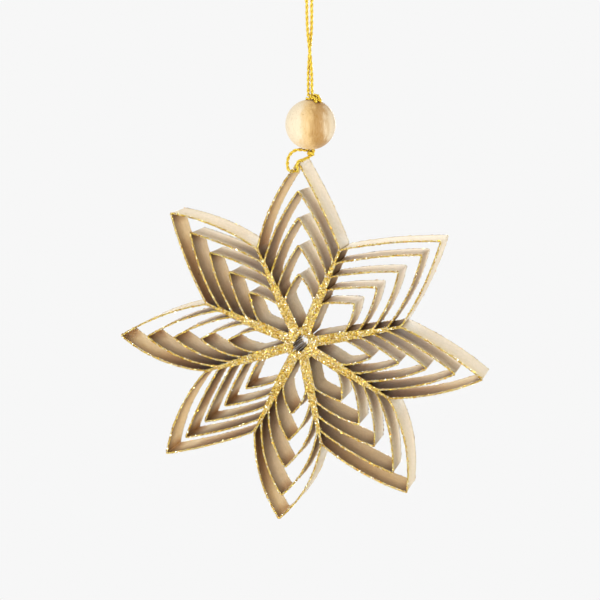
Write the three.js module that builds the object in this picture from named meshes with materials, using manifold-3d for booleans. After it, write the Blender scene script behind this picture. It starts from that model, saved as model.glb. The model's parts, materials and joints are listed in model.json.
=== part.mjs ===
// Hanging snowflake of quilled paper: eight petals of nested folded strips, a wooden bead and a gold cord.
// Millimetres, +Z up, front towards -Y. The origin is the top of the hanging loop, where a hook carries it.
import * as THREE from 'three';
import { mergeVertices } from 'three/addons/utils/BufferGeometryUtils.js';
import Module from 'manifold-3d';

const wasm = await Module();
wasm.setup();

// Paper strips
const STRIP_WIDTH = 13;
const PAPER = 0.22;
const GLUE_LINE = 0.04;
const STRIPS_PER_PETAL = 5;

// Star: the folds and the partings from the ribs step evenly from the outer strip to the innermost one
const STAR_RADIUS = 50;
const INNER_FOLD_RADIUS = 19.6;
const VALLEY_RADIUS = 28.3;
const INNER_PARTING_RADIUS = 12.7;
const EYE_RADIUS = 2.2;
const END_GAP = 0.15;
const CREASE_LENGTH = 0.8;
const LEG_STEPS = 5;
const FIRST_RIB_DEG = 114.5;

// Petals clockwise from the top, bent by hand: opening angle, lean of the folds off the middle in degrees,
// how far the petal reaches over the star's radius, slip of each fold outwards from its even place, and bulge
// of the left and right leg, first of the outer strip and then of the one inside it
const PETALS = [
  {
    name: 'top', spread: 48, lean: -0.5, over: -0.8,
    slips: [0, 0, 0.4, 0.5, 0.4], outerBulge: [1.5, 0.5], innerBulge: [0.9, 0.9],
  },
  {
    name: 'upper_right', spread: 55.5, lean: -2.1, over: -1.9,
    slips: [0, 1.2, 1, 1.2, 1.2], outerBulge: [0.6, 0.9], innerBulge: [0.5, 1.2],
  },
  {
    name: 'right', spread: 41.5, lean: 0.5, over: 0.4,
    slips: [0, 0, 0, 0, 0], outerBulge: [0.8, 1.3], innerBulge: [0.7, 1.1],
  },
  {
    name: 'lower_right', spread: 48, lean: 0.5, over: -0.4,
    slips: [0, 1.1, 0, 0.4, 0], outerBulge: [2.1, 1.4], innerBulge: [1.3, 0.9],
  },
  {
    name: 'bottom', spread: 39.5, lean: 0.5, over: -0.3,
    slips: [0, 0.8, 0.4, 0.4, 0.4], outerBulge: [2.2, 1.8], innerBulge: [1.9, 1.8],
  },
  {
    name: 'lower_left', spread: 44.5, lean: 0, over: 0.2,
    slips: [0, 0.2, 0.5, 0.7, 0.3], outerBulge: [0.7, 1.8], innerBulge: [0.6, 0.5],
  },
  {
    name: 'left', spread: 39, lean: 1, over: 0.9,
    slips: [0, 0, 0, 0, 0], outerBulge: [2.1, 1.2], innerBulge: [1.8, 1],
  },
  {
    name: 'upper_left', spread: 44, lean: -1, over: 0.3,
    slips: [0, 0, 0, 0, 0], outerBulge: [0.8, 1.5], innerBulge: [1, 0.6],
  },
];

// Bead and cord
const CORD = 0.9;
const CORD_CLEARANCE = 0.3;
const STRAND_GAP = 0.1;
const STRAND_SPREAD = 0.2;
const BEAD_DIAMETER = 13.6;
const BEAD_HEIGHT = 13.2;
const BORE_CLEARANCE = 0.35;
const BORE_CHAMFER = 0.3;
const KNOT_RADIUS = 0.9;
const KNOT_SHIFT = 1.1;
const KNOT_FORWARD = 0.9;
const LOOP_HEIGHT = 42;
const LOOP_WIDTH = 6;
const OPENING_HEIGHT = 18;

// Seat of the star under the bead: the loop through the top fold stands left of the bead
const FOLD_DROP = 2.1;
const STAR_SHIFT = 2.1;
const HOLE_DROP = 2.35;
const HOLE_INSET = 1.5;
const SEAT_GAP = 0.1;

const CORD_SIDES = 8;
const BEAD_SIDES = 28;
const LAYER = PAPER + GLUE_LINE;
const FOLD_PITCH = (STAR_RADIUS - INNER_FOLD_RADIUS) / (STRIPS_PER_PETAL - 1);
const PARTING_PITCH = (VALLEY_RADIUS - INNER_PARTING_RADIUS) / (STRIPS_PER_PETAL - 1);
const HOLE_RADIUS = CORD / 2 + CORD_CLEARANCE;
const STRAND_OFFSET = (CORD + STRAND_GAP) / 2;
const BORE_RADIUS = STRAND_OFFSET + CORD / 2 + BORE_CLEARANCE;

// Heights, from the hook down
const LOOP_FOOT = -LOOP_HEIGHT;
const KNOT_TUBE = CORD * 0.45;
const KNOT_HALF = KNOT_RADIUS / 2 + KNOT_TUBE;
const KNOT_Z = LOOP_FOOT - CORD_CLEARANCE - KNOT_HALF;
const BEAD_TOP = KNOT_Z - KNOT_HALF - SEAT_GAP;
const BEAD_Z = BEAD_TOP - BEAD_HEIGHT / 2;
const RING_RADIUS = STRAND_OFFSET;
const RING_REACH = RING_RADIUS + CORD / 2;
const PIVOT_Z = BEAD_Z - BEAD_HEIGHT / 2 - SEAT_GAP - RING_REACH;
const FOLD_Z = PIVOT_Z - FOLD_DROP;
const STAR_Z = FOLD_Z - STAR_RADIUS - PETALS[0].over;

const paper = () => new THREE.MeshStandardMaterial({ color: 0xdcc8a4, roughness: 0.9, metalness: 0 });
const wood = () => new THREE.MeshStandardMaterial({ color: 0xe6c48c, roughness: 0.5, metalness: 0 });
const gold = () => new THREE.MeshStandardMaterial({ color: 0xe0b030, roughness: 0.35, metalness: 0.8 });

const ornament = new THREE.Group();

function addMesh(parent, name, geometry, material) {
  const mesh = new THREE.Mesh(geometry, material);
  mesh.name = name;
  parent.add(mesh);
  return mesh;
}

// Closed solids for joining and cutting
function toSolid(geometry) {
  const bare = geometry.clone();
  bare.deleteAttribute('normal');
  bare.deleteAttribute('uv');
  const merged = mergeVertices(bare, 1e-5);
  return new wasm.Manifold(new wasm.Mesh({
    numProp: 3,
    vertProperties: new Float32Array(merged.attributes.position.array),
    triVerts: new Uint32Array(merged.index.array),
  }));
}

function toGeometry(solid) {
  const mesh = solid.getMesh();
  const geometry = new THREE.BufferGeometry();
  geometry.setAttribute('position', new THREE.BufferAttribute(new Float32Array(mesh.vertProperties), 3));
  geometry.setIndex(new THREE.BufferAttribute(new Uint32Array(mesh.triVerts), 1));
  geometry.computeVertexNormals();
  return geometry;
}

function tubeAlong(points, diameter, steps) {
  const section = new THREE.Shape();
  for (let i = 0; i < CORD_SIDES; i += 1) {
    const turn = (i / CORD_SIDES) * 2 * Math.PI;
    const x = (diameter / 2) * Math.cos(turn);
    const y = (diameter / 2) * Math.sin(turn);
    if (i === 0) section.moveTo(x, y);
    else section.lineTo(x, y);
  }
  const path = new THREE.CatmullRomCurve3(points, false, 'centripetal');
  return new THREE.ExtrudeGeometry(section, { steps, extrudePath: path, bevelEnabled: false });
}

const direction = (degrees) => new THREE.Vector2(
  Math.cos(THREE.MathUtils.degToRad(degrees)),
  Math.sin(THREE.MathUtils.degToRad(degrees)),
);

// The straight run of one leg of strip k: its end near the eye, where it parts from the rib, and its fold.
// side is 1 for the leg on the petal's left, counter-clockwise edge, and -1 for the right one.
function legRun(petal, k, side) {
  const rib = direction(side > 0 ? petal.leftRib : petal.rightRib);
  const inward = new THREE.Vector2(rib.y, -rib.x).multiplyScalar(side);
  const offset = inward.multiplyScalar((k - 0.5) * LAYER);
  const meeting = (k * LAYER) / Math.tan(THREE.MathUtils.degToRad(petal.spread / 2)) + END_GAP;
  const start = rib.clone().multiplyScalar(Math.max(EYE_RADIUS, meeting)).add(offset);
  const parting = rib.clone().multiplyScalar(VALLEY_RADIUS - (k - 1) * PARTING_PITCH).add(offset);
  const reach = STAR_RADIUS + petal.over - (k - 1) * FOLD_PITCH + (petal.slips[k - 1] ?? 0);
  const fold = direction(petal.axis).multiplyScalar(reach);
  const chord = fold.clone().sub(parting);
  return { rib, start, parting, fold, chord };
}

// The bulged leg past its parting: the strips inside the second one bulge less as they get shorter
function bulgedLeg(petal, k, side) {
  const { parting, chord } = legRun(petal, k, side);
  const [left, right] = k === 1 ? petal.outerBulge : petal.innerBulge;
  const shorter = k === 1 ? 1 : chord.length() / legRun(petal, 2, side).chord.length();
  const bulge = (side > 0 ? left : right) * shorter;
  const outwards = new THREE.Vector2(-chord.y, chord.x).normalize().multiplyScalar(side);
  return (t) => parting.clone().addScaledVector(chord, t).addScaledVector(outwards, 4 * bulge * t * (1 - t));
}

function legPoints(petal, k, side) {
  const { rib, start, parting, chord } = legRun(petal, k, side);
  const at = bulgedLeg(petal, k, side);
  const bend = CREASE_LENGTH / chord.length();
  const before = parting.clone().addScaledVector(rib, -CREASE_LENGTH);
  const after = at(bend);
  const middle = parting.clone().multiplyScalar(2).add(before).add(after).divideScalar(4);
  const points = [start, before, middle, after];
  for (let i = 1; i < LEG_STEPS; i += 1) points.push(at(bend + ((1 - bend) * i) / LEG_STEPS));
  return points;
}

// A ribbon of paper along a line of points, mitred at each bend
function ribbon(points, thickness) {
  const left = [];
  const right = [];
  points.forEach((point, i) => {
    const back = i > 0 ? point.clone().sub(points[i - 1]).normalize() : null;
    const ahead = i < points.length - 1 ? points[i + 1].clone().sub(point).normalize() : null;
    const a = back || ahead;
    const b = ahead || back;
    const normalA = new THREE.Vector2(-a.y, a.x);
    const normalB = new THREE.Vector2(-b.y, b.x);
    const mitre = normalA.clone().add(normalB).normalize();
    mitre.multiplyScalar(thickness / 2 / mitre.dot(normalA));
    left.push(point.clone().add(mitre));
    right.push(point.clone().sub(mitre));
  });
  return new THREE.Shape([...right, ...left.reverse()]);
}

function stripGeometry(petal, k) {
  const line = legPoints(petal, k, 1);
  line.push(legRun(petal, k, 1).fold);
  line.push(...legPoints(petal, k, -1).reverse());
  return new THREE.ExtrudeGeometry(ribbon(line, PAPER), { depth: STRIP_WIDTH, bevelEnabled: false });
}

// Petals share the full turn in proportion to their opening angles
const spreadTotal = PETALS.reduce((sum, petal) => sum + petal.spread, 0);
let ribAngle = FIRST_RIB_DEG;
const petals = PETALS.map((row) => {
  const spread = (row.spread / spreadTotal) * 360;
  const petal = { ...row, spread, leftRib: ribAngle, rightRib: ribAngle - spread };
  petal.axis = ribAngle - spread / 2 + row.lean;
  ribAngle -= spread;
  return petal;
});

// The star's own plane is drawn flat, strips standing up from it, then stood upright facing the front
const star = new THREE.Group();
star.rotation.x = Math.PI / 2;
star.position.set(-STAR_SHIFT, STRIP_WIDTH / 2, STAR_Z);
ornament.add(star);

// Hole through the left leg of the top petal's outer strip, just under its fold
const topFold = legRun(petals[0], 1, 1).fold;
const holeHeight = STRIP_WIDTH - HOLE_INSET;
const holeCutter = new THREE.CylinderGeometry(HOLE_RADIUS, HOLE_RADIUS, 2 * HOLE_DROP, 12);
holeCutter.rotateZ(Math.PI / 2);
holeCutter.translate(topFold.x - HOLE_DROP, topFold.y - HOLE_DROP, holeHeight);

petals.forEach((petal, i) => {
  for (let k = 1; k <= STRIPS_PER_PETAL; k += 1) {
    let geometry = stripGeometry(petal, k);
    if (i === 0 && k === 1) geometry = toGeometry(toSolid(geometry).subtract(toSolid(holeCutter)));
    addMesh(star, `${petal.name}_petal_strip_${k}`, geometry, paper());
  }
});

// Bead turned from wood, with a chamfered bore along its axis
const beadProfile = [];
const poleAngle = Math.acos((BORE_RADIUS + BORE_CHAMFER) / (BEAD_DIAMETER / 2));
const BEAD_STEPS = 11;
for (let i = 0; i <= BEAD_STEPS; i += 1) {
  const angle = -poleAngle + (2 * poleAngle * i) / BEAD_STEPS;
  const height = (BEAD_HEIGHT / 2) * (Math.sin(angle) / Math.sin(poleAngle));
  beadProfile.push(new THREE.Vector2((BEAD_DIAMETER / 2) * Math.cos(angle), height));
}
beadProfile.push(new THREE.Vector2(BORE_RADIUS, BEAD_HEIGHT / 2 - BORE_CHAMFER));
beadProfile.push(new THREE.Vector2(BORE_RADIUS, -BEAD_HEIGHT / 2 + BORE_CHAMFER));
beadProfile.push(beadProfile[0].clone());
const bead = addMesh(ornament, 'wooden_bead', new THREE.LatheGeometry(beadProfile, BEAD_SIDES), wood());
bead.rotation.x = Math.PI / 2;
bead.position.z = BEAD_Z;

// Hanging loop: one cord, its two strands half twisted over the knot and open round the hook
function strandPoints(side) {
  const points = [];
  const steps = 7;
  for (let i = 0; i <= steps; i += 1) {
    const rise = i / steps;
    const turn = Math.PI * (1 - rise * rise * (3 - 2 * rise));
    const apart = STRAND_OFFSET + STRAND_SPREAD * rise * rise;
    const z = LOOP_FOOT + (LOOP_HEIGHT - OPENING_HEIGHT) * rise;
    points.push(new THREE.Vector3(side * apart * Math.cos(turn), side * apart * Math.sin(turn), z));
  }
  for (const [across, up] of [[0.45, 0.25], [0.8, 0.5], [0.98, 0.72], [0.75, 0.92]]) {
    points.push(new THREE.Vector3((side * across * LOOP_WIDTH) / 2, 0, OPENING_HEIGHT * (up - 1)));
  }
  return points;
}
const loopLine = [...strandPoints(-1), new THREE.Vector3(0, 0, 0), ...strandPoints(1).reverse()];
addMesh(ornament, 'hanging_loop', tubeAlong(loopLine, CORD, 56), gold());

// Cord through the bead: two strands, the knot above the bead and the wrapped turn under it
const strandLength = KNOT_Z - PIVOT_Z;
const strand = new THREE.CylinderGeometry(CORD / 2, CORD / 2, strandLength, CORD_SIDES);
strand.rotateX(Math.PI / 2);
strand.translate(0, 0, (KNOT_Z + PIVOT_Z) / 2);
const knot = new THREE.TorusKnotGeometry(KNOT_RADIUS, KNOT_TUBE, 48, CORD_SIDES, 2, 3);
knot.translate(KNOT_SHIFT, -KNOT_FORWARD, KNOT_Z);
const ring = new THREE.TorusGeometry(RING_RADIUS, CORD / 2, CORD_SIDES, 20);
ring.translate(0, 0, PIVOT_Z);
const beadCord = toSolid(strand.clone().translate(-STRAND_OFFSET, 0, 0))
  .add(toSolid(strand.clone().translate(STRAND_OFFSET, 0, 0)))
  .add(toSolid(knot))
  .add(toSolid(ring));
addMesh(ornament, 'bead_cord', toGeometry(beadCord), gold());

// Loop through the top fold: from the turn under the bead along the right shoulder of the fold, round its front
// tip, out through the hole in the left leg and up in a free curve to the bead's underside
const foldAt = (x, y, z) => new THREE.Vector3(topFold.x - STAR_SHIFT + x, y, FOLD_Z + z);
const pivotAt = (x, y, z) => new THREE.Vector3(x, y, PIVOT_Z + z);
const frontY = -STRIP_WIDTH / 2;
const holeY = frontY + HOLE_INSET;
const tipLine = [
  pivotAt(-0.3, -0.7, -1.25),
  foldAt(1.1, -2.2, 0.7),
  foldAt(0.8, frontY + 2.9, 0.45),
  foldAt(0.55, frontY + 1, 0.45),
  foldAt(0.2, frontY - 0.55, 0.2),
  foldAt(-0.1, frontY - 0.85, -0.6),
  foldAt(-0.1, frontY - 0.45, -HOLE_DROP + 0.85),
  foldAt(-0.3, frontY + 0.6, -HOLE_DROP + 0.1),
  foldAt(-0.9, holeY, -HOLE_DROP),
  foldAt(-1.9, holeY, -HOLE_DROP - 0.1),
  foldAt(-2.85, holeY - 0.1, -HOLE_DROP + 0.15),
  foldAt(-3.3, holeY + 0.4, -HOLE_DROP + 1.2),
  foldAt(-3.46, holeY + 1, -0.25),
  foldAt(-3.45, -3, 1),
  pivotAt(-5, -2, 0),
  pivotAt(-4, -1, 0.75),
  pivotAt(-2.7, -0.2, 0.8),
  pivotAt(-1.55, 0, 0.5),
];
addMesh(ornament, 'tip_loop', tubeAlong(tipLine, CORD, 44), gold());

export default ornament;
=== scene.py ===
# Hanging snowflake of quilled paper: glittered petals of nested folded strips, a wooden bead and a gold cord.
# Lengths are millimetres until MM makes them metres. The front faces -Y, and +Z is up.
import json
import math

import bpy
from mathutils import Matrix, Vector, noise

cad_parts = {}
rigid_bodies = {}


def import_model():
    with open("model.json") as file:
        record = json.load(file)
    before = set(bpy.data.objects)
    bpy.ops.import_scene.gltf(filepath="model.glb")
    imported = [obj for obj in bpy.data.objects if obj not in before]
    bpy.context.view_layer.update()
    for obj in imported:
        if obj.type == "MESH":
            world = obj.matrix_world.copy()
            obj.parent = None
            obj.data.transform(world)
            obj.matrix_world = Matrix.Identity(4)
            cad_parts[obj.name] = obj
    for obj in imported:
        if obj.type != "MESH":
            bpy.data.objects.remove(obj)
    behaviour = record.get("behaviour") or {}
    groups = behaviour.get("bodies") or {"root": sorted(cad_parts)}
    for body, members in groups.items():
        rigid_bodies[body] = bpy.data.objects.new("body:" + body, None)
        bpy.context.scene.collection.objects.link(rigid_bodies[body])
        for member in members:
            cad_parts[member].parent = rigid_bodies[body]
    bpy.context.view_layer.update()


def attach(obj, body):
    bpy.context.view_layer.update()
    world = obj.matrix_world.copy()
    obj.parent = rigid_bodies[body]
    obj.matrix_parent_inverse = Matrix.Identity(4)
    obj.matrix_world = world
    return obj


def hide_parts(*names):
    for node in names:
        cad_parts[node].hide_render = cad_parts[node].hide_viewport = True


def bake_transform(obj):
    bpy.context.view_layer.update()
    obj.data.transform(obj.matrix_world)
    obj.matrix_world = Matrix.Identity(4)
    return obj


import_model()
MM = 0.001

# Paper strips
STRIP_WIDTH = 13
FRONT = -STRIP_WIDTH / 2
REAR = STRIP_WIDTH / 2
PAPER = 0.22
GLUE_LINE = 0.04
STRIPS_PER_PETAL = 5
LAYER = PAPER + GLUE_LINE
# The petal whose inside is a darker copy of the paper: painted shade for a petal that gets less light
SHADED_PETAL = "lower_right"

# Star: folds and partings from the ribs step evenly from the outer strip to the innermost one
STAR_RADIUS = 50
INNER_FOLD_RADIUS = 19.6
VALLEY_RADIUS = 28.3
INNER_PARTING_RADIUS = 12.7
FOLD_PITCH = (STAR_RADIUS - INNER_FOLD_RADIUS) / (STRIPS_PER_PETAL - 1)
PARTING_PITCH = (VALLEY_RADIUS - INNER_PARTING_RADIUS) / (STRIPS_PER_PETAL - 1)
EYE_RADIUS = 2.2
END_GAP = 0.02
SHORT_END = 0.5
CREASE_LENGTH = 0.8
PINCH_LENGTH = 0.45
FIRST_RIB_DEG = 114.5

# Petals clockwise from the top: opening angle, lean of the folds in degrees, reach over the star's radius,
# slip of each fold, and bulge of the left and right leg, first of the outer strip and then of the next
PETALS = [
    ("top", 48, -0.5, -0.8, (0, 0, 0.4, 0.5, 0.4), (1.5, 0.5), (0.9, 0.9)),
    ("upper_right", 55.5, -2.1, -1.9, (0, 1.2, 1, 1.2, 1.2), (0.6, 0.9), (0.5, 1.2)),
    ("right", 41.5, 0.5, 0.4, (0, 0, 0, 0, 0), (0.8, 1.3), (0.7, 1.1)),
    ("lower_right", 48, 0.5, -0.4, (0, 1.1, 0, 0.4, 0), (2.1, 1.4), (1.3, 0.9)),
    ("bottom", 39.5, 0.5, -0.3, (0, 0.8, 0.4, 0.4, 0.4), (2.2, 1.8), (1.9, 1.8)),
    ("lower_left", 44.5, 0, 0.2, (0, 0.2, 0.5, 0.7, 0.3), (0.7, 1.8), (0.6, 0.5)),
    ("left", 39, 1, 0.9, (0, 0, 0, 0, 0), (2.1, 1.2), (1.8, 1)),
    ("upper_left", 44, -1, 0.3, (0, 0, 0, 0, 0), (0.8, 1.5), (1, 0.6)),
]

# Heights from the hook down, and the cord
CORD = 0.9
STRAND_OFFSET = 0.5
STRAND_SPREAD = 0.2
LOOP_HEIGHT = 42
LOOP_WIDTH = 6
OPENING_HEIGHT = 18
KNOT_Z = -43.155
LOOP_END_Z = KNOT_Z + 0.1
BEAD_DIAMETER = 13.6
BEAD_HEIGHT = 13.2
BORE_RADIUS = 1.3
BORE_CHAMFER = 0.3
BEAD_Z = -50.71
KNOT_FOOT_Z = BEAD_Z + 4
PIVOT_Z = -58.36
FOLD_Z = -60.46
STAR_SHIFT = 2.1
STAR_Z = FOLD_Z - STAR_RADIUS - PETALS[0][3]
HOLE_RADIUS = 0.75
HOLE_DROP = 2.35
HOLE_INSET = 1.5

# The view of the photograph, taken as 600 x 600 pixels
IMAGE_SIZE = 600
FOCAL_PIXELS = 1865.2
SENSOR = 36
NEAREST = 10
CAMERA_PLACE = Vector((110.5, -491.5, -19.5))
CAMERA_AIM = Vector((-0.22321, 0.96236, -0.15502))
CAMERA_ROLL_DEG = -0.69

# The pale room: the light that is seen behind the star, and the light that falls on it
BACKDROP = 0.93
ROOM_GLOW = 0.75
LAMP_AIM = Vector((0, 0, BEAD_Z - 30))
FLOOR_Z = -260
FLOOR_RADIUS = 6000


def set_camera():
    data = bpy.data.cameras.new("view")
    data.sensor_width = SENSOR
    data.lens = FOCAL_PIXELS / IMAGE_SIZE * SENSOR
    data.clip_start = NEAREST * MM
    camera = bpy.data.objects.new("view", data)
    bpy.context.scene.collection.objects.link(camera)
    level = CAMERA_AIM.to_track_quat("-Z", "Y").to_matrix()
    turned = level @ Matrix.Rotation(math.radians(CAMERA_ROLL_DEG), 3, "Z")
    camera.matrix_world = Matrix.Translation(CAMERA_PLACE * MM) @ turned.to_4x4()
    bpy.context.scene.camera = camera


# Work with the tools by hand

def only(obj):
    """Selects this object alone and makes it the active one."""
    bpy.ops.object.select_all(action="DESELECT")
    obj.select_set(True)
    bpy.context.view_layer.objects.active = obj


def edit_where(obj, chosen):
    """Enters edit mode with just the vertices selected whose place passes the test."""
    only(obj)
    bpy.ops.object.mode_set(mode="EDIT")
    bpy.ops.mesh.select_mode(type="VERT")
    bpy.ops.mesh.select_all(action="DESELECT")
    bpy.ops.object.mode_set(mode="OBJECT")
    for vertex in obj.data.vertices:
        vertex.select = chosen(vertex.co)
    bpy.ops.object.mode_set(mode="EDIT")


def leave_edit():
    bpy.ops.object.mode_set(mode="OBJECT")


def apply_modifiers(obj):
    only(obj)
    for modifier in list(obj.modifiers):
        bpy.ops.object.modifier_apply(modifier=modifier.name)


def place_in_mesh(obj):
    only(obj)
    bpy.ops.object.transform_apply(location=True, rotation=True, scale=True)


def joined(pieces, name):
    bpy.ops.object.select_all(action="DESELECT")
    for piece in pieces:
        piece.select_set(True)
    bpy.context.view_layer.objects.active = pieces[0]
    bpy.ops.object.join()
    pieces[0].name = name
    return pieces[0]


def dress(piece, body, finish):
    piece.data.materials.append(finish)
    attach(piece, body)


# Finishes

WHITE = (1, 1, 1)
BLACK = (0, 0, 0)

# Paper: fibres thicker and thinner than its body, bark, and the tint of the painted shade towards the front
# edge
THICK_FIBRE = 0.5
THIN_FIBRE = 1.3
FIBRE_SHARE = 0.36
BARK = (0.16, 0.1, 0.06)
SPECK_SIZE = 0.05
SPECK_RARITY = 0.62
FRONT_SHADE_TINT = (1, 0.92, 0.76)

# Wood: how far the edges of its bands of wood tone and painted light wander, how much its fibres show, and
# its pores
BAND_WANDER = 2.2
GRAIN_SHARE = 0.16
PORE = (0.36, 0.19, 0.07)

# The Mix node's colour sockets, which come after those of its other kinds
MIX_FIRST = 6
MIX_SECOND = 7
MIX_RESULT = 2


def feed(socket, value):
    """Links another node's output to a socket, or sets a plain value or colour on it."""
    if isinstance(value, bpy.types.NodeSocket):
        socket.id_data.links.new(value, socket)
    elif isinstance(value, tuple) and socket.type == "RGBA":
        socket.default_value = (*value, 1)
    else:
        socket.default_value = value


def feed_all(node, **inputs):
    """Feeds a node's inputs by their names, with _ for a space."""
    for key, value in inputs.items():
        feed(node.inputs[key.replace("_", " ")], value)


def new_finish(name):
    """A material, its shader, and a function that adds a node with some inputs fed."""
    material = bpy.data.materials.new(name)
    material.use_nodes = True
    nodes = material.node_tree.nodes

    def add(kind, **inputs):
        node = nodes.new("ShaderNode" + kind)
        feed_all(node, **inputs)
        return node

    return material, nodes["Principled BSDF"], add


def ramp(add, factor, stops):
    """Colours at their stops along a factor from 0 to 1."""
    node = add("ValToRGB", Fac=factor)
    elements = node.color_ramp.elements
    while len(elements) < len(stops):
        elements.new(0.5)
    for element, (position, colour) in zip(elements, stops):
        element.position = position
        element.color = (*colour, 1)
    return node.outputs["Color"]


def mixed(add, factor, first, second, blend="MIX"):
    """Two colours laid over each other."""
    node = add("Mix")
    node.data_type = "RGBA"
    node.blend_type = blend
    feed(node.inputs["Factor"], factor)
    feed(node.inputs[MIX_FIRST], first)
    feed(node.inputs[MIX_SECOND], second)
    return node.outputs[MIX_RESULT]


def reckoned(add, operation, first, second):
    """A sum, product or test of two values."""
    node = add("Math")
    node.operation = operation
    feed(node.inputs[0], first)
    feed(node.inputs[1], second)
    return node.outputs[0]


def roughen(add, shader, height, strength, depth):
    """Fine relief on the surface, from a pattern."""
    bump = add("Bump", Strength=strength, Distance=depth * MM, Height=height)
    feed(shader.inputs["Normal"], bump.outputs["Normal"])


def paper_finish(name, light, dark, roughness, front_shade, reach, shades, seep, seep_tint):
    """Uncoated paper: cloudy fibres, specks of bark, painted shade that darkens it towards the front edge,
    light seeping through.

    Shades are painted shade from ambient occlusion, running from narrow corners, darkest where shade falls,
    to open faces, which the cream's shades darken a little again.
    Reach is how far off a wall still shelters."""
    material, shader, add = new_finish(name)
    place = add("TexCoord").outputs["Object"]
    clouds = add("TexNoise", Vector=place, Scale=320, Detail=4, Roughness=0.6).outputs["Fac"]
    fibres = add("TexNoise", Vector=place, Scale=1500, Detail=4, Roughness=0.75).outputs["Fac"]
    thick = tuple(THICK_FIBRE * part for part in light)
    thin = tuple(THIN_FIBRE * part for part in light)
    body = ramp(add, clouds, [(0.32, dark), (0.68, light)])
    fibred = mixed(add, FIBRE_SHARE, body, ramp(add, fibres, [(0.3, thick), (0.7, thin)]))
    cells = add("TexVoronoi", Vector=place, Scale=150).outputs
    near = reckoned(add, "LESS_THAN", cells["Distance"], SPECK_SIZE)
    rare = reckoned(add, "GREATER_THAN", cells["Color"], SPECK_RARITY)
    specked = mixed(add, reckoned(add, "MULTIPLY", near, rare), fibred, BARK)
    # Painted shade: the paper darker towards its front edge and lighter towards the rear
    inward = add("SeparateXYZ", Vector=place).outputs["Y"]
    depth = add("MapRange", Value=inward, From_Min=FRONT * MM, From_Max=REAR * MM).outputs["Result"]
    front_shade_colour = tuple(front_shade * part for part in FRONT_SHADE_TINT)
    front_shaded = mixed(add, 1, specked, ramp(add, depth, [(0.02, front_shade_colour), (0.5, WHITE)]), "MULTIPLY")
    # Painted shade: darker in narrow corners and between close strips, by ambient occlusion
    shelter = add("AmbientOcclusion", Distance=reach * MM).outputs["AO"]
    with_painted_shade = mixed(add, 1, front_shaded, ramp(add, shelter, shades), "MULTIPLY")
    roughen(add, shader, fibres, strength=0.25, depth=0.04)
    feed_all(
        shader, Base_Color=with_painted_shade, Roughness=roughness, Specular_IOR_Level=0.03,
        Subsurface_Weight=1, Subsurface_Radius=seep_tint, Subsurface_Scale=seep * MM,
    )
    return material


def paper_finishes():
    """The paper's cream outside; its kraft inside, darker partly as a real darker side of the paper and
    partly as painted shade; and a still darker copy of the inside for one petal, painted shade.
    """
    cream = paper_finish(
        "paper_outside", (0.91, 0.8, 0.63), (0.85, 0.74, 0.565), roughness=0.6, front_shade=0.95, reach=6,
        # Painted shade: dark in narrow corners, palest part way out, darker again on fully open faces
        shades=[
            (0.18, (0.36, 0.26, 0.15)),
            (0.37, (0.9, 0.775, 0.6)),
            (0.58, (1, 0.965, 0.9)),
            (0.97, (0.7, 0.615, 0.515)),
        ],
        seep=3, seep_tint=(1, 0.97, 0.92),
    )
    # The inside: darker than the outside, partly a darker side of the paper and partly painted shade
    inner = {
        "roughness": 0.8, "front_shade": 0.4, "reach": 4,
        "shades": [
            (0.14, (0.13, 0.075, 0.034)),
            (0.34, (0.47, 0.325, 0.18)),
            (0.8, WHITE),
        ],
        "seep": 1.4, "seep_tint": (1, 0.9, 0.74),
    }
    kraft_and_shade = paper_finish("paper_inside", (0.62, 0.475, 0.305), (0.53, 0.4, 0.245), **inner)
    shaded_inside = paper_finish("paper_inside_painted_shade", (0.47, 0.34, 0.19), (0.4, 0.285, 0.155), **inner)
    return cream, kraft_and_shade, shaded_inside


def glue_finish():
    """Gilt glue under the glitter, with grain of its own."""
    material, shader, add = new_finish("gilt_glue")
    place = add("TexCoord").outputs["Object"]
    grains = add("TexVoronoi", Vector=place, Scale=4200).outputs
    colour = ramp(add, grains["Color"], [
        (0.1, (0.22, 0.1, 0.006)),
        (0.5, (0.7, 0.47, 0.065)),
        (0.9, (1, 0.86, 0.34)),
    ])
    roughen(add, shader, grains["Distance"], strength=0.8, depth=0.1)
    feed_all(shader, Base_Color=colour, Metallic=0.75, Roughness=0.4)
    return material


def glitter_finish():
    """Metal flakes from deep to pale gold, each of one tone."""
    material, shader, add = new_finish("gold_glitter")
    tone = add("Attribute")
    tone.attribute_name = "tone"
    colour = ramp(add, tone.outputs["Fac"], [
        (0.0, (0.22, 0.07, 0.001)),
        (0.22, (0.72, 0.36, 0.008)),
        (0.42, (1, 0.72, 0.08)),
        (0.62, (1, 0.94, 0.42)),
        (0.8, (1, 1, 0.92)),
    ])
    feed_all(shader, Base_Color=colour, Metallic=0.85, Roughness=0.2)
    return material


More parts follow.
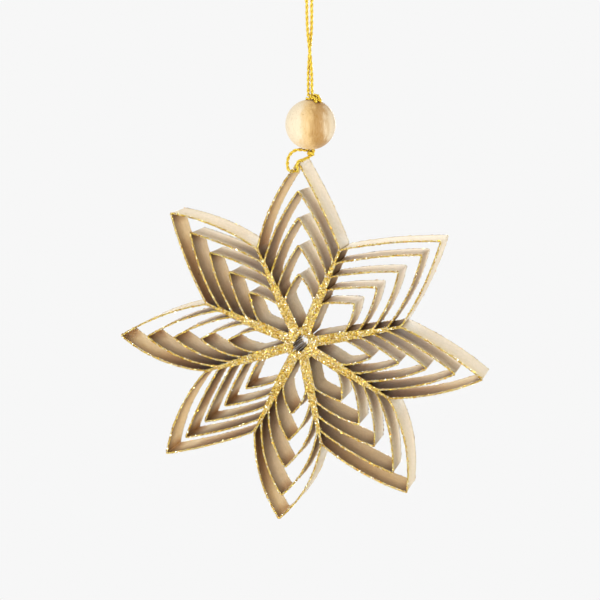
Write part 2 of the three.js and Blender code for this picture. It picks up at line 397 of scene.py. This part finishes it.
def wood_finish():
    """Pale turned wood, its fibres running with the bore, under a satin varnish, its tones laid across it
    from left to right as wood tone and painted light.
    """
    material, shader, add = new_finish("bead_wood")
    place = add("TexCoord").outputs["Object"]
    centred = add("Mapping", Vector=place, Location=(0, 0, -BEAD_Z * MM)).outputs["Vector"]

    def drawn_noise(around, along, **grain):
        """Noise drawn out along the bore."""
        drawn = add("Mapping", Vector=centred, Scale=(around, around, along)).outputs["Vector"]
        return add("TexNoise", Vector=drawn, Scale=1, **grain).outputs["Fac"]

    wander = drawn_noise(700, 160, Detail=3, Roughness=0.55)
    across = add("SeparateXYZ", Vector=centred).outputs["X"]
    shift = add("MapRange", Value=wander, To_Min=-BAND_WANDER * MM, To_Max=BAND_WANDER * MM).outputs["Result"]
    side = BEAD_DIAMETER / 2 * MM
    bands_and_painted_light = add("MapRange", Value=reckoned(add, "ADD", across, shift), From_Min=-side, From_Max=side)
    # Pale left side: painted highlight; tan and dark brown band: wood tone and painted shade; pale right
    # edge: painted rim light
    body = ramp(add, bands_and_painted_light.outputs["Result"], [
        (0.0, (0.98, 0.86, 0.64)),
        (0.36, (0.97, 0.83, 0.59)),
        (0.46, (0.88, 0.64, 0.33)),
        (0.58, (0.81, 0.54, 0.22)),
        (0.68, (0.47, 0.245, 0.055)),
        (0.81, (0.52, 0.28, 0.08)),
        (0.91, (0.92, 0.74, 0.48)),
        (1.0, (0.98, 0.84, 0.61)),
    ])
    streaks = drawn_noise(2400, 130, Detail=4, Roughness=0.65)
    fibre = ramp(add, streaks, [(0.3, (0.45, 0.25, 0.08)), (0.65, (0.9, 0.7, 0.42))])
    streaked = mixed(add, GRAIN_SHARE, body, fibre)
    pores = drawn_noise(5200, 900, Detail=1)
    open_pores = ramp(add, pores, [(0.64, BLACK), (0.74, (0.6, 0.6, 0.6))])
    colour = mixed(add, open_pores, streaked, PORE)
    roughen(add, shader, streaks, strength=0.12, depth=0.05)
    feed_all(
        shader, Base_Color=colour, Roughness=0.5, Specular_IOR_Level=0.3,
        Sheen_Weight=0.35, Sheen_Roughness=0.4, Sheen_Tint=(1, 0.88, 0.7),
    )
    return material


def thread_finish():
    """Metallic thread: bright foil with small turned facets, with painted shade in the hollows between the
    plies.
    """
    material, shader, add = new_finish("gold_thread")
    place = add("TexCoord").outputs["Object"]
    facets = add("TexVoronoi", Vector=place, Scale=7000).outputs
    hollows = add("AmbientOcclusion", Distance=0.6 * MM).outputs["AO"]
    foil = ramp(add, facets["Color"], [
        (0.1, (0.88, 0.5, 0.012)),
        (0.5, (1, 0.75, 0.06)),
        (0.95, (1, 0.9, 0.26)),
    ])
    # Painted shade in the hollows between the plies, by ambient occlusion
    shade = ramp(add, hollows, [
        (0.36, (0.15, 0.055, 0.002)),
        (0.64, (0.62, 0.41, 0.18)),
        (0.86, WHITE),
    ])
    colour = mixed(add, 1, foil, shade, "MULTIPLY")
    roughen(add, shader, facets["Distance"], strength=0.35, depth=0.05)
    feed_all(shader, Base_Color=colour, Metallic=0.5, Roughness=0.28, Specular_IOR_Level=0.15)
    return material


# The star's lines, drawn flat with x to the right and y up

RIB_STEPS = 8
CREASE_STEPS = 4
LEG_STEPS = 14
FOLD_STEPS = 3


def direction(degrees):
    return Vector((math.cos(math.radians(degrees)), math.sin(math.radians(degrees))))


def bent(before, corner, after, steps):
    """Points of a soft corner between two places."""
    found = []
    for i in range(steps + 1):
        t = i / steps
        found.append(before * (1 - t) ** 2 + corner * 2 * t * (1 - t) + after * t * t)
    return found


def leg_run(petal, k, side):
    """Rib of one leg, its end near the eye, its parting from the rib and its fold.

    Side is 1 on the petal's left and -1 on its right."""
    rib = direction(petal["left_rib"] if side > 0 else petal["right_rib"])
    offset = Vector((rib.y, -rib.x)) * side * (k - 0.5) * LAYER
    meeting = k * LAYER / math.tan(math.radians(petal["spread"] / 2)) + END_GAP
    short = SHORT_END if k % 2 else 0
    start = rib * (max(EYE_RADIUS, meeting) + short) + offset
    parting = rib * (VALLEY_RADIUS - (k - 1) * PARTING_PITCH) + offset
    reach = STAR_RADIUS + petal["over"] - (k - 1) * FOLD_PITCH + petal["slips"][k - 1]
    return rib, start, parting, direction(petal["axis"]) * reach


def leg_points(petal, k, side):
    """One leg from the eye to just short of its fold, and the fold."""
    rib, start, parting, fold = leg_run(petal, k, side)
    chord = fold - parting
    _, _, second_parting, second_fold = leg_run(petal, 2, side)
    bulges = petal["outer_bulge"] if k == 1 else petal["inner_bulge"]
    shorter = 1 if k == 1 else chord.length / (second_fold - second_parting).length
    bulge = Vector((-chord.y, chord.x)).normalized() * side * bulges[0 if side > 0 else 1] * shorter

    def at(t):
        return parting + chord * t + bulge * 4 * t * (1 - t)

    before = parting - rib * CREASE_LENGTH
    leaving = CREASE_LENGTH / chord.length
    closing = 1 - PINCH_LENGTH / chord.length
    points = [start + (before - start) * i / RIB_STEPS for i in range(RIB_STEPS)]
    points += bent(before, parting, at(leaving), CREASE_STEPS)
    points += [at(leaving + (closing - leaving) * i / LEG_STEPS) for i in range(1, LEG_STEPS + 1)]
    return points, fold


def strip_line(petal, k):
    left, fold = leg_points(petal, k, 1)
    right, _ = leg_points(petal, k, -1)
    return left[:-1] + bent(left[-1], fold, right[-1], FOLD_STEPS) + right[-2::-1]


def star_place(point, depth):
    return Vector((point.x - STAR_SHIFT, depth, STAR_Z + point.y)) * MM


def petals_drawn():
    """Petals with their ribs and axes, sharing the full turn by their opening angles."""
    total = sum(row[1] for row in PETALS)
    rib = FIRST_RIB_DEG
    drawn = []
    for name, opening, lean, over, slips, outer_bulge, inner_bulge in PETALS:
        spread = opening / total * 360
        drawn.append({
            "name": name, "spread": spread, "left_rib": rib, "right_rib": rib - spread,
            "axis": rib - spread / 2 + lean, "over": over, "slips": slips,
            "outer_bulge": outer_bulge, "inner_bulge": inner_bulge,
        })
        rib -= spread
    return drawn


# Strips of paper

WIDTH_STEPS = 4
WANDER = 0.2
WANDER_PER_METRE = 55
WANDER_SEED = 5
EDGE_TEST = 0.001 * MM
SOFT_BEND_DEG = 40
PUNCH_SIDES = 24


def bend_by_hand(obj):
    """Lets the paper wander a little from its true line, alike for strips that lie together."""
    for vertex in obj.data.vertices:
        drift = noise.noise_vector(vertex.co * WANDER_PER_METRE)
        vertex.co.x += drift.x * WANDER * MM
        vertex.co.z += drift.z * WANDER * MM


def extruded_strip(name, line):
    """A strip of paper drawn out edge by edge along its line, its outer face first."""
    places = [star_place(point, 0) for point in line]
    run = places[1] - places[0]
    bpy.ops.object.select_all(action="DESELECT")
    bpy.ops.mesh.primitive_grid_add(
        x_subdivisions=1, y_subdivisions=WIDTH_STEPS, size=1,
        location=(places[0] + places[1]) / 2, rotation=(0, -math.atan2(run.z, run.x), 0),
    )
    strip = bpy.context.object
    strip.name = name
    strip.scale = (run.length, STRIP_WIDTH * MM, 1)
    place_in_mesh(strip)
    edit_where(strip, lambda co: (co - places[1]).dot(run) > -EDGE_TEST * run.length)
    for here, there in zip(places[1:], places[2:]):
        bpy.ops.mesh.extrude_region_move(TRANSFORM_OT_translate={"value": there - here})
    leave_edit()
    bend_by_hand(strip)
    return strip


def glue_bead(strip, depth, radius):
    """A line of glue along the strip's edge at this depth."""
    edit_where(strip, lambda co: abs(co.y - depth * MM) < EDGE_TEST)
    bpy.ops.mesh.duplicate()
    bpy.ops.mesh.separate(type="SELECTED")
    leave_edit()
    bead = next(o for o in bpy.context.selected_objects if o != strip)
    only(bead)
    bpy.ops.object.convert(target="CURVE")
    bead = bpy.context.object
    bead.data.bevel_depth = radius * MM
    bead.data.bevel_resolution = 1
    bead.data.use_fill_caps = True
    bpy.ops.object.convert(target="MESH")
    return bpy.context.object


def punch_hole(strip, petal):
    """The cord's hole through the left leg, just under the top fold and behind the front edge."""
    fold = leg_run(petal, 1, 1)[3]
    bpy.ops.object.select_all(action="DESELECT")
    bpy.ops.mesh.primitive_cylinder_add(
        vertices=PUNCH_SIDES, radius=HOLE_RADIUS * MM, depth=2 * HOLE_DROP * MM,
        location=star_place(fold - Vector((HOLE_DROP, HOLE_DROP)), FRONT + HOLE_INSET),
        rotation=(0, math.pi / 2, 0),
    )
    punch = bpy.context.object
    cut = strip.modifiers.new("hole", "BOOLEAN")
    cut.object = punch
    apply_modifiers(strip)
    bpy.data.objects.remove(punch)


def finish_strip(strip, petal, k, finishes):
    """Gives the strip its thickness, with one finish outside and the other inside."""
    wall = strip.modifiers.new("paper", "SOLIDIFY")
    wall.thickness = PAPER * MM
    wall.offset = 0
    wall.use_even_offset = True
    wall.material_offset = 1
    for finish in finishes:
        strip.data.materials.append(finish)
    apply_modifiers(strip)
    if petal["name"] == "top" and k == 1:
        punch_hole(strip, petal)
    only(strip)
    bpy.ops.object.shade_smooth_by_angle(angle=math.radians(SOFT_BEND_DEG))
    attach(strip, "star")
    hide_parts(f"{petal['name']}_petal_strip_{k}")


# Glitter

FLAKE_RADIUS = 0.19
FLAKE_HEIGHT = 0.07
FLAKE_CORNER = Vector((0.05, 0.06, 0))
FLAKE_LEAN = 0.9
SMALLEST_FLAKE = 0.55
LARGEST_FLAKE = 1.25
LEAN_SEED = 1
SIZE_SEED = 2
TONE_SEED = 3
FRONT_GLUE = 0.22
REAR_GLUE = 0.15
FRONT_FLAKES = 11
REAR_FLAKES = 7
PER_SQUARE_MM = 1e6
EYE_RING = 3.5
EYE_GLUE = 1
EYE_FLATNESS = 0.22
EYE_LEAN_DEG = 57
EYE_WIDENING = 0.5
EYE_NARROWING = 0.9
EYE_LUMPS = 0.25
EYE_SEED = 7


def cut_flake(finish):
    """One flake of glitter: a low six-sided facet, drawn out at one corner."""
    bpy.ops.object.select_all(action="DESELECT")
    bpy.ops.mesh.primitive_cone_add(vertices=6, radius1=FLAKE_RADIUS * MM, radius2=0, depth=FLAKE_HEIGHT * MM)
    flake = bpy.context.object
    flake.name = "glitter_flake"
    edit_where(flake, lambda co: co.y > 0.9 * FLAKE_RADIUS * MM)
    bpy.ops.transform.translate(value=FLAKE_CORNER * MM)
    leave_edit()
    flake.data.materials.append(finish)
    return flake


def glitter_scatter(flake):
    """Nodes that strew flakes over a line of glue, each with its own size, lean and tone."""
    tree = bpy.data.node_groups.new("strew_glitter", "GeometryNodeTree")
    tree.interface.new_socket("Glue", in_out="INPUT", socket_type="NodeSocketGeometry")
    tree.interface.new_socket("Density", in_out="INPUT", socket_type="NodeSocketFloat")
    tree.interface.new_socket("Seed", in_out="INPUT", socket_type="NodeSocketInt")
    tree.interface.new_socket("Glitter", in_out="OUTPUT", socket_type="NodeSocketGeometry")
    nodes, link = tree.nodes, tree.links.new
    given = nodes.new("NodeGroupInput").outputs
    points = nodes.new("GeometryNodeDistributePointsOnFaces")
    link(given["Glue"], points.inputs["Mesh"])
    link(given["Density"], points.inputs["Density"])
    link(given["Seed"], points.inputs["Seed"])

    def chance(kind, low, high, seed):
        node = nodes.new("FunctionNodeRandomValue")
        node.data_type = kind
        sockets = [s for s in node.inputs if s.enabled]
        sockets[0].default_value = low
        sockets[1].default_value = high
        node.inputs["Seed"].default_value = seed
        return next(s for s in node.outputs if s.enabled)

    lean = nodes.new("FunctionNodeRotateRotation")
    lean.rotation_space = "LOCAL"
    link(points.outputs["Rotation"], lean.inputs["Rotation"])
    least = (-FLAKE_LEAN, -FLAKE_LEAN, 0)
    most = (FLAKE_LEAN, FLAKE_LEAN, 2 * math.pi)
    link(chance("FLOAT_VECTOR", least, most, LEAN_SEED), lean.inputs["Rotate By"])
    model = nodes.new("GeometryNodeObjectInfo")
    model.inputs["Object"].default_value = flake
    model.inputs["As Instance"].default_value = True
    strewn = nodes.new("GeometryNodeInstanceOnPoints")
    link(points.outputs["Points"], strewn.inputs["Points"])
    link(model.outputs["Geometry"], strewn.inputs["Instance"])
    link(lean.outputs["Rotation"], strewn.inputs["Rotation"])
    link(chance("FLOAT", SMALLEST_FLAKE, LARGEST_FLAKE, SIZE_SEED), strewn.inputs["Scale"])
    toned = nodes.new("GeometryNodeStoreNamedAttribute")
    toned.domain = "INSTANCE"
    toned.data_type = "FLOAT"
    toned.inputs["Name"].default_value = "tone"
    link(strewn.outputs["Instances"], toned.inputs["Geometry"])
    link(chance("FLOAT", 0, 1, TONE_SEED), toned.inputs["Value"])
    real = nodes.new("GeometryNodeRealizeInstances")
    link(toned.outputs["Geometry"], real.inputs["Geometry"])
    together = nodes.new("GeometryNodeJoinGeometry")
    link(real.outputs["Geometry"], together.inputs["Geometry"])
    link(given["Glue"], together.inputs["Geometry"])
    link(together.outputs["Geometry"], nodes.new("NodeGroupOutput").inputs["Glitter"])
    return tree


def glitter_line(line, glue, scatter, density, seed):
    """Strews glitter over a line of glue, so many flakes to a square millimetre."""
    line.data.materials.append(glue)
    sockets = {item.name: item.identifier for item in scatter.interface.items_tree}
    modifier = line.modifiers.new("glitter", "NODES")
    modifier.node_group = scatter
    modifier[sockets["Density"]] = float(density * PER_SQUARE_MM)
    modifier[sockets["Seed"]] = seed
    apply_modifiers(line)
    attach(line, "star")


def eye_glue():
    """A flat lumpy ring of glue that joins the ribs' ends round the eye.

    Its hole is drawn out to the upper right."""
    centre = star_place(Vector((0, 0)), FRONT)
    along = direction(EYE_LEAN_DEG)
    bpy.ops.object.select_all(action="DESELECT")
    bpy.ops.mesh.primitive_torus_add(
        major_segments=64, minor_segments=16, major_radius=EYE_RING * MM, minor_radius=EYE_GLUE * MM,
        location=centre, rotation=(math.pi / 2, 0, 0),
    )
    ring = bpy.context.object
    ring.name = "eye_glitter_front"
    ring.scale = (1, 1, EYE_FLATNESS)
    place_in_mesh(ring)
    for vertex in ring.data.vertices:
        spoke = Vector((vertex.co.x - centre.x, vertex.co.z - centre.z))
        inward = max(0, EYE_RING * MM - spoke.length)
        outward = spoke.normalized()
        drawn = outward.dot(along)
        push = inward * (EYE_WIDENING * drawn ** 2 - EYE_NARROWING * (1 - drawn ** 2))
        vertex.co.x += outward.x * push
        vertex.co.z += outward.y * push
    edit_where(ring, lambda co: True)
    bpy.ops.transform.vertex_random(offset=EYE_LUMPS * MM, uniform=0.5, seed=EYE_SEED)
    leave_edit()
    bend_by_hand(ring)
    return ring


# Bead

RIM_TEST = 0.01
CHAMFER_EDGE_DEG = 30


def turn_bead(finish):
    """A sphere with flattened poles, drilled through and chamfered."""
    half = BEAD_HEIGHT / 2 * MM
    mouth = (BORE_RADIUS + BORE_CHAMFER) * MM
    radius = BEAD_DIAMETER / 2 * MM
    centre = BEAD_Z * MM
    bpy.ops.object.select_all(action="DESELECT")
    bpy.ops.mesh.primitive_uv_sphere_add(segments=64, ring_count=40, radius=radius, location=(0, 0, centre))
    bead = bpy.context.object
    bead.name = "turned_bead"
    bead.scale.z = half / math.sqrt(radius ** 2 - mouth ** 2)
    place_in_mesh(bead)
    narrowing = BORE_RADIUS * MM / mouth
    for end in (1, -1):
        edit_where(bead, lambda co: True)
        bpy.ops.mesh.bisect(plane_co=(0, 0, centre + end * half), plane_no=(0, 0, end), clear_outer=True)
        leave_edit()
        edit_where(bead, lambda co: end * (co.z - centre) > half - EDGE_TEST)
        bpy.ops.mesh.extrude_region_move(TRANSFORM_OT_translate={"value": (0, 0, -end * BORE_CHAMFER * MM)})
        bpy.ops.transform.resize(value=(narrowing, narrowing, 1))
        leave_edit()
    edit_where(bead, lambda co: math.hypot(co.x, co.y) < (BORE_RADIUS + RIM_TEST) * MM)
    bpy.ops.mesh.bridge_edge_loops(number_cuts=6)
    bpy.ops.mesh.select_all(action="SELECT")
    bpy.ops.mesh.normals_make_consistent(inside=False)
    leave_edit()
    bpy.ops.object.shade_smooth_by_angle(angle=math.radians(CHAMFER_EDGE_DEG))
    dress(bead, "bead", finish)
    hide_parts("wooden_bead")


# Cords

PLIES = 2
PLY_SHARE = 0.57
PLY_RADIUS = CORD / 2 * PLY_SHARE
PLY_PITCH = 3
YARN_PITCH = 0.42
YARN_SWELL = 0.24
ROUTE_PARTS = 24
ROUTE_STEP = 0.105
SHORTEST_STEP = 0.2 * ROUTE_STEP
STRAND_STEPS = 7
WRAP_STEPS = 28
WRAP_TURNS = 2
WRAP_RADIUS = 0.62
WRAP_RISE = 0.35
WRAP_HEIGHT = 0.8


def route(points):
    """An even line of places through the points, in metres, as a smooth cord takes them."""
    ends = [points[0] * 2 - points[1]] + list(points) + [points[-1] * 2 - points[-2]]
    fine = []
    for a, b, c, d in zip(ends, ends[1:], ends[2:], ends[3:]):
        t1 = math.sqrt((b - a).length)
        t2 = t1 + math.sqrt((c - b).length)
        t3 = t2 + math.sqrt((d - c).length)
        for i in range(ROUTE_PARTS):
            t = t1 + (t2 - t1) * i / ROUTE_PARTS
            first = a * ((t1 - t) / t1) + b * (t / t1)
            second = b * ((t2 - t) / (t2 - t1)) + c * ((t - t1) / (t2 - t1))
            third = c * ((t3 - t) / (t3 - t2)) + d * ((t - t2) / (t3 - t2))
            fore = first * ((t2 - t) / t2) + second * (t / t2)
            aft = second * ((t3 - t) / (t3 - t1)) + third * ((t - t1) / (t3 - t1))
            fine.append(fore * ((t2 - t) / (t2 - t1)) + aft * ((t - t1) / (t2 - t1)))
    fine.append(points[-1].copy())
    even = [fine[0] * MM]
    left = ROUTE_STEP
    for here, there in zip(fine, fine[1:]):
        span = (there - here).length
        gone = 0
        while span - gone >= left:
            gone += left
            even.append(here.lerp(there, gone / span) * MM)
            left = ROUTE_STEP
        left -= span - gone
    if (even[-1] - fine[-1] * MM).length > SHORTEST_STEP * MM:
        even.append(fine[-1] * MM)
    else:
        even[-1] = fine[-1] * MM
    return even


def ply_lines(line):
    """The plies' lines, twisted round a route."""
    lay = (CORD / 2 - PLY_RADIUS) * MM
    aside = (line[1] - line[0]).orthogonal().normalized()
    plies = [[] for _ in range(PLIES)]
    gone = 0
    for i, place in enumerate(line):
        ahead = (line[min(i + 1, len(line) - 1)] - line[max(i - 1, 0)]).normalized()
        aside = (aside - ahead * aside.dot(ahead)).normalized()
        across = ahead.cross(aside)
        if i:
            gone += (place - line[i - 1]).length
        for ply in range(PLIES):
            turn = 2 * math.pi * (ply / PLIES + gone / (PLY_PITCH * MM))
            plies[ply].append(place + (aside * math.cos(turn) + across * math.sin(turn)) * lay)
    return plies


def twisted_cord(name, lines):
    """Two plies twisted round each line, as one mesh."""
    curve = bpy.data.curves.new(name, "CURVE")
    curve.dimensions = "3D"
    curve.bevel_depth = PLY_RADIUS * MM
    curve.bevel_resolution = 2
    curve.use_fill_caps = True
    for line in lines:
        for ply in ply_lines(line):
            spline = curve.splines.new("POLY")
            spline.points.add(len(ply) - 1)
            for i, (point, place) in enumerate(zip(spline.points, ply)):
                point.co = (*place, 1)
                point.radius = 1 + YARN_SWELL * math.sin(2 * math.pi * i * ROUTE_STEP / YARN_PITCH)
    cord = bpy.data.objects.new(name, curve)
    bpy.context.scene.collection.objects.link(cord)
    only(cord)
    bpy.ops.object.convert(target="MESH")
    cord = bpy.context.object
    bpy.ops.object.shade_smooth()
    return cord


def strand_points(side):
    """One strand of the hanging loop from the knot up: half twisted with the other, then open at the hook."""
    points = []
    for i in range(STRAND_STEPS + 1):
        rise = i / STRAND_STEPS
        turn = math.pi * (1 - rise * rise * (3 - 2 * rise))
        apart = STRAND_OFFSET + STRAND_SPREAD * rise * rise
        height = -LOOP_HEIGHT + (LOOP_HEIGHT - OPENING_HEIGHT) * rise
        points.append(Vector((side * apart * math.cos(turn), side * apart * math.sin(turn), height)))
    for across, up in ((0.45, 0.25), (0.8, 0.5), (0.98, 0.72), (0.75, 0.92)):
        points.append(Vector((side * across * LOOP_WIDTH / 2, 0, OPENING_HEIGHT * (up - 1))))
    return points


def hang_loop(finish):
    """The doubled cord from the knot up over the hook and back."""
    left = [Vector((STRAND_OFFSET, 0, LOOP_END_Z))] + strand_points(-1)
    right = [Vector((-STRAND_OFFSET, 0, LOOP_END_Z))] + strand_points(1)
    line = route(left + [Vector((0, 0, 0))] + right[::-1])
    loop = twisted_cord("gold_hanging_loop", [line])
    loop.data.materials.append(finish)
    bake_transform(loop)
    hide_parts("hanging_loop")


def knot_points():
    """The knot on the bead: a turn round the strands, and two bights down the bead's right shoulder."""
    return [Vector(point) for point in (
        (-STRAND_OFFSET, 0, KNOT_FOOT_Z),
        (-0.6, -0.3, -44.4), (-0.75, -1.1, -43.85), (-0.15, -1.65, -43.75), (0.7, -1.35, -43.5),
        (1.2, -1.2, -43.05), (1.9, -1.5, -42.75), (2.75, -2, -43.2), (3.25, -2.4, -44.3),
        (2.9, -1.6, -44.3), (2, -0.2, -43.8), (1, 0.6, -43.5), (0.1, 0.6, -43.1),
        (-0.3, -0.1, -42.95), (0.3, -1.1, -43), (1, -1.9, -43.45), (1.6, -2.3, -43.4),
        (2.15, -2.65, -43.85), (2.3, -2.8, -44.5), (1.7, -1.9, -44.2), (1, -0.6, -43.9),
        (STRAND_OFFSET, 0, KNOT_FOOT_Z),
    )]


def wrap_points():
    """Two close turns round the strands under the bead."""
    points = []
    for i in range(WRAP_STEPS + 1):
        turn = 2 * math.pi * WRAP_TURNS * i / WRAP_STEPS
        height = PIVOT_Z + WRAP_RISE - WRAP_HEIGHT * i / WRAP_STEPS
        points.append(Vector((WRAP_RADIUS * math.cos(turn), WRAP_RADIUS * math.sin(turn), height)))
    return points


def string_bead(finish):
    """The knot on the bead, the two strands through its bore, and the turns under it."""
    heights = (KNOT_FOOT_Z, BEAD_Z, PIVOT_Z)
    strands = [[Vector((side * STRAND_OFFSET, 0, z)) for z in heights] for side in (-1, 1)]
    lines = [route(points) for points in (*strands, knot_points(), wrap_points())]
    cord = twisted_cord("gold_bead_cord", lines)
    dress(cord, "knotted_cord", finish)
    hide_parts("bead_cord")


def string_star(finish, petal):
    """A loop from the bore down the top fold's right shoulder, round its tip, out at the left leg and up."""
    fold_x = leg_run(petal, 1, 1)[3].x - STAR_SHIFT
    hole_y = FRONT + HOLE_INSET

    def fold_at(x, y, z):
        return Vector((fold_x + x, y, FOLD_Z + z))

    def pivot_at(x, y, z):
        return Vector((x, y, PIVOT_Z + z))

    points = [
        pivot_at(0.6, 0, 0.95),
        pivot_at(0.75, 0, 0.3),
        pivot_at(0.25, -0.1, -0.45),
        pivot_at(-0.4, -1.1, -1.15),
        fold_at(1.1, -2.2, 0.7),
        fold_at(0.8, FRONT + 2.9, 0.45),
        fold_at(0.55, FRONT + 1, 0.45),
        fold_at(0.2, FRONT - 0.55, 0.2),
        fold_at(-0.1, FRONT - 0.85, -0.6),
        fold_at(-0.1, FRONT - 0.45, -HOLE_DROP + 0.85),
        fold_at(-0.3, FRONT + 0.6, -HOLE_DROP + 0.1),
        fold_at(-0.9, hole_y, -HOLE_DROP),
        fold_at(-1.9, hole_y, -HOLE_DROP - 0.1),
        fold_at(-2.85, hole_y - 0.1, -HOLE_DROP + 0.15),
        fold_at(-3.3, hole_y + 0.4, -HOLE_DROP + 1.2),
        fold_at(-3.46, hole_y + 1, -0.25),
        fold_at(-3.45, -3, 1),
        pivot_at(-5, -2, 0),
        pivot_at(-4, -1, 0.75),
        pivot_at(-2.7, -0.2, 0.85),
        pivot_at(-1.55, 0, 0.7),
        pivot_at(-0.6, 0, 0.9),
    ]
    loop = twisted_cord("gold_tip_loop", [route(points)])
    dress(loop, "star", finish)
    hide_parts("tip_loop")


# Stage

def set_stage():
    """A floor that glows as pale as the room, so that no horizon shows."""
    bpy.ops.object.select_all(action="DESELECT")
    bpy.ops.mesh.primitive_circle_add(
        vertices=64, radius=FLOOR_RADIUS * MM, fill_type="NGON", location=(0, 0, FLOOR_Z * MM),
    )
    floor = bpy.context.object
    floor.name = "floor"
    material, shader, _ = new_finish("pale_floor")
    feed_all(
        shader, Base_Color=BLACK, Emission_Color=WHITE, Emission_Strength=BACKDROP,
        Roughness=1, Specular_IOR_Level=0,
    )
    floor.data.materials.append(material)


def lamp(name, place, size, power):
    """A round softbox, turned to the star."""
    data = bpy.data.lights.new(name, "AREA")
    data.shape = "DISK"
    data.size = size * MM
    data.energy = power
    light = bpy.data.objects.new(name, data)
    light.visible_camera = False
    light.location = Vector(place) * MM
    aim = LAMP_AIM * MM - light.location
    light.rotation_euler = aim.to_track_quat("-Z", "Y").to_euler()
    bpy.context.scene.collection.objects.link(light)
    return light


def set_light():
    """A pale room with two like softboxes, one in front of the star and one behind it."""
    scene = bpy.context.scene
    scene.view_settings.view_transform = "Standard"
    world = bpy.data.worlds.new("studio")
    world.use_nodes = True
    scene.world = world
    nodes = world.node_tree.nodes
    strength = nodes.new("ShaderNodeMix")
    feed_all(strength, A=ROOM_GLOW, B=BACKDROP)
    feed(strength.inputs["Factor"], nodes.new("ShaderNodeLightPath").outputs["Is Camera Ray"])
    feed_all(nodes["Background"], Color=WHITE, Strength=strength.outputs["Result"])
    lamp("front_softbox", place=(30, -800, -60), size=260, power=2.6)
    lamp("rear_softbox", place=(-30, 800, -60), size=260, power=2.6)


def light_paper():
    """A wide softbox behind the star that reaches only the paper, so that gold and bead aren't washed out."""
    strips = bpy.data.collections.new("paper_strips")
    for obj in bpy.data.objects:
        if "_petal_paper_" in obj.name:
            strips.objects.link(obj)
    glow = lamp("paper_softbox", place=(-30, 450, -75), size=900, power=6.8)
    glow.light_linking.receiver_collection = strips


def make_star(petals):
    """Folds every petal's strips, and lays glue and glitter along their edges and round the eye."""
    cream, kraft_and_shade, shaded_inside = paper_finishes()
    glue = glue_finish()
    flake = cut_flake(glitter_finish())
    scatter = glitter_scatter(flake)
    for number, petal in enumerate(petals):
        inside = shaded_inside if petal["name"] == SHADED_PETAL else kraft_and_shade
        fronts = []
        rears = []
        for k in range(1, STRIPS_PER_PETAL + 1):
            strip = extruded_strip(f"{petal['name']}_petal_paper_{k}", strip_line(petal, k))
            fronts.append(glue_bead(strip, FRONT, FRONT_GLUE))
            rears.append(glue_bead(strip, REAR, REAR_GLUE))
            finish_strip(strip, petal, k, (cream, inside))
        for beads, edge, density in ((fronts, "front", FRONT_FLAKES), (rears, "rear", REAR_FLAKES)):
            line = joined(beads, f"{petal['name']}_petal_glitter_{edge}")
            glitter_line(line, glue, scatter, density, 2 * number + (edge == "rear"))
    glitter_line(eye_glue(), glue, scatter, FRONT_FLAKES, 2 * len(petals))
    bpy.data.objects.remove(flake)


noise.seed_set(WANDER_SEED)
set_camera()
set_light()
set_stage()
petals = petals_drawn()
thread = thread_finish()
hang_loop(thread)
string_bead(thread)
string_star(thread, petals[0])
turn_bead(wood_finish())
make_star(petals)
light_paper()
bpy.ops.object.select_all(action="DESELECT")
